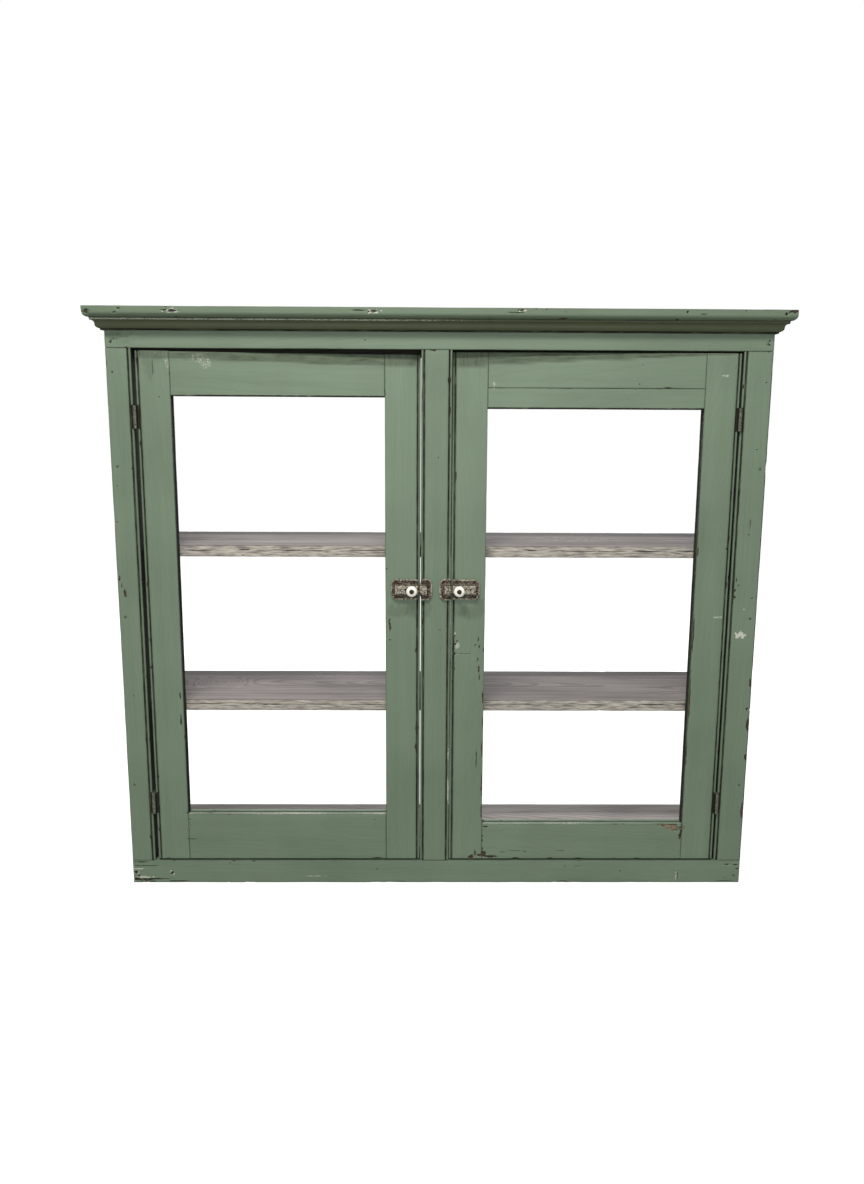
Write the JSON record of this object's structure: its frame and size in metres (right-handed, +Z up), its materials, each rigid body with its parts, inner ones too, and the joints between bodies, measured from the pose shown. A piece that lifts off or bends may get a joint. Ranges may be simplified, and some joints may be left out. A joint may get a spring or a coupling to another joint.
{
  "type": "wall cupboard",
  "caption": "Painted wooden wall cupboard, open at the back, with a moulded cornice, fixed shelves and inset framed doors on butt hinges, each with a spring catch and a china knob.",
  "frame": {"origin": "middle of the footprint, on the surface that the cupboard stands on", "axes": "+X to the viewer's right across the front, +Y from the doors to the open back, +Z up"},
  "size_m": [0.986, 0.2172, 0.86],
  "materials": {
    "green_paint": "old grey-green oil paint on softwood, worn through at the edges",
    "bare_wood": "unpainted softwood, weathered grey",
    "painted_iron": "butt hinges painted over with the frame",
    "cast_iron": "pitted, rust-brown",
    "steel": "dull, darkened",
    "porcelain": "glazed china, ivory white"
  },
  "bodies": {
    "carcass": {"side_left": "green_paint", "side_right": "green_paint", "bottom_board": "bare_wood", "lower_shelf": "bare_wood", "upper_shelf": "bare_wood", "tie_rail": "bare_wood", "base_rail": "green_paint", "frieze_rail": "green_paint", "stile_left": "green_paint", "stile_right": "green_paint", "centre_post": "green_paint", "top_board": "green_paint", "cornice_front": "green_paint", "cornice_return_left": "green_paint", "cornice_return_right": "green_paint", "case_nails": "steel", "left_upper_frame_leaf": "painted_iron", "left_upper_hinge_pin": "steel", "left_lower_frame_leaf": "painted_iron", "left_lower_hinge_pin": "steel", "right_upper_frame_leaf": "painted_iron", "right_upper_hinge_pin": "steel", "right_lower_frame_leaf": "painted_iron", "right_lower_hinge_pin": "steel", "frame_hinge_screws": "steel", "left_keeper": "cast_iron", "right_keeper": "cast_iron", "keeper_screws": "steel"},
    "left_door": {"left_door_hinged_stile": "green_paint", "left_door_free_stile": "green_paint", "left_door_top_rail": "green_paint", "left_door_bottom_rail": "green_paint", "left_upper_door_leaf": "painted_iron", "left_lower_door_leaf": "painted_iron", "left_door_hinge_screws": "steel", "left_catch_case": "cast_iron", "left_catch_spring": "steel", "left_catch_screws": "steel"},
    "right_door": {"right_door_hinged_stile": "green_paint", "right_door_free_stile": "green_paint", "right_door_top_rail": "green_paint", "right_door_top_strip": "green_paint", "right_door_bottom_rail": "green_paint", "right_upper_door_leaf": "painted_iron", "right_lower_door_leaf": "painted_iron", "right_door_hinge_screws": "steel", "right_catch_case": "cast_iron", "right_catch_spring": "steel", "right_catch_screws": "steel"},
    "left_bolt": {"left_catch_bolt": "cast_iron", "left_catch_knob": "porcelain", "left_knob_stud": "steel"},
    "right_bolt": {"right_catch_bolt": "cast_iron", "right_catch_knob": "porcelain", "right_knob_stud": "steel"}
  },
  "joints": [
    {"name": "left_door_swing", "type": "hinge", "parent": "carcass", "child": "left_door", "pos_m": [-0.432, -0.0856, 0.42], "axis": [0, 0, -1], "range_deg": [0, 170]},
    {"name": "right_door_swing", "type": "hinge", "parent": "carcass", "child": "right_door", "pos_m": [0.4272, -0.0856, 0.42], "axis": [0, 0, 1], "range_deg": [0, 170]},
    {"name": "left_bolt_slide", "type": "slide", "parent": "left_door", "child": "left_bolt", "axis": [1, 0, 0], "range_m": [-0.007, 0.005], "stiffness_N_per_m": 300, "deforming": ["left_catch_spring"]},
    {"name": "right_bolt_slide", "type": "slide", "parent": "right_door", "child": "right_bolt", "axis": [-1, 0, 0], "range_m": [-0.007, 0.005], "stiffness_N_per_m": 300, "deforming": ["right_catch_spring"]}
  ]
}
